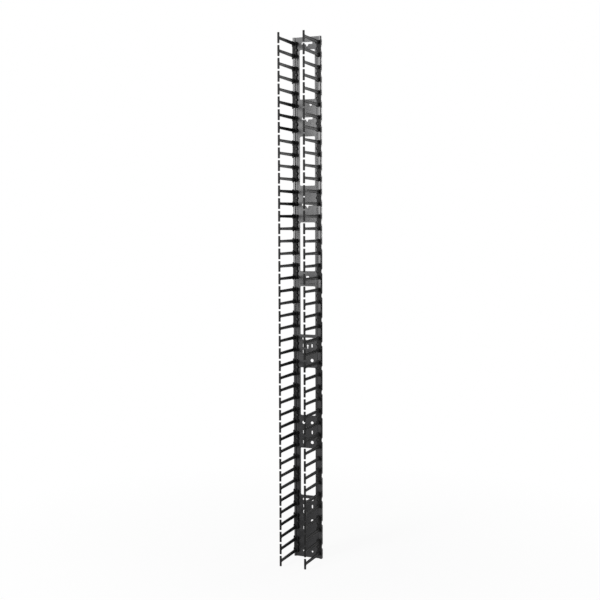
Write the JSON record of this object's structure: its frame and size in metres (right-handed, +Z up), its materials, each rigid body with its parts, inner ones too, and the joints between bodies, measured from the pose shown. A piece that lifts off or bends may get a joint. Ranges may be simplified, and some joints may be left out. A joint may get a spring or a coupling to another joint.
{
  "type": "vertical cable manager",
  "caption": "Tall narrow folded steel panel with cable windows and two rows of T-headed plastic fingers that hold cables along a rack's side.",
  "frame": {"origin": "middle of the lower pair of fixing holes, on the rear face of the panel's web and level with the lowest fingers", "axes": "+Z up along the panel, +Y to the rear towards the rack frame, so the fingers point along -Y; X across the panel"},
  "size_m": [0.1128, 0.156, 1.9119],
  "materials": {
    "panel_coat": "black powder coat, satin, with a fine orange-peel texture",
    "finger_plastic": "moulded black nylon, fine spark texture, slightly glossy edges",
    "rivet_plastic": "black nylon push rivets"
  },
  "bodies": {
    "root": {"back_panel": "panel_coat", "finger_pair_left_01": "finger_plastic", "finger_pair_left_02": "finger_plastic", "finger_pair_left_03": "finger_plastic", "finger_pair_left_04": "finger_plastic", "finger_pair_left_05": "finger_plastic", "finger_pair_left_06": "finger_plastic", "finger_pair_left_07": "finger_plastic", "finger_pair_left_08": "finger_plastic", "finger_pair_left_09": "finger_plastic", "finger_pair_left_10": "finger_plastic", "finger_pair_left_11": "finger_plastic", "finger_pair_left_12": "finger_plastic", "finger_pair_left_13": "finger_plastic", "finger_pair_left_14": "finger_plastic", "finger_pair_left_15": "finger_plastic", "finger_pair_left_16": "finger_plastic", "finger_pair_left_17": "finger_plastic", "finger_pair_left_18": "finger_plastic", "finger_pair_left_19": "finger_plastic", "finger_pair_left_20": "finger_plastic", "finger_pair_left_21": "finger_plastic", "finger_pair_right_01": "finger_plastic", "finger_pair_right_02": "finger_plastic", "finger_pair_right_03": "finger_plastic", "finger_pair_right_04": "finger_plastic", "finger_pair_right_05": "finger_plastic", "finger_pair_right_06": "finger_plastic", "finger_pair_right_07": "finger_plastic", "finger_pair_right_08": "finger_plastic", "finger_pair_right_09": "finger_plastic", "finger_pair_right_10": "finger_plastic", "finger_pair_right_11": "finger_plastic", "finger_pair_right_12": "finger_plastic", "finger_pair_right_13": "finger_plastic", "finger_pair_right_14": "finger_plastic", "finger_pair_right_15": "finger_plastic", "finger_pair_right_16": "finger_plastic", "finger_pair_right_17": "finger_plastic", "finger_pair_right_18": "finger_plastic", "finger_pair_right_19": "finger_plastic", "finger_pair_right_20": "finger_plastic", "finger_pair_right_21": "finger_plastic", "lone_finger_left": "finger_plastic", "lone_finger_right": "finger_plastic", "push_rivets_left": "rivet_plastic", "push_rivets_right": "rivet_plastic"}
  },
  "joints": []
}
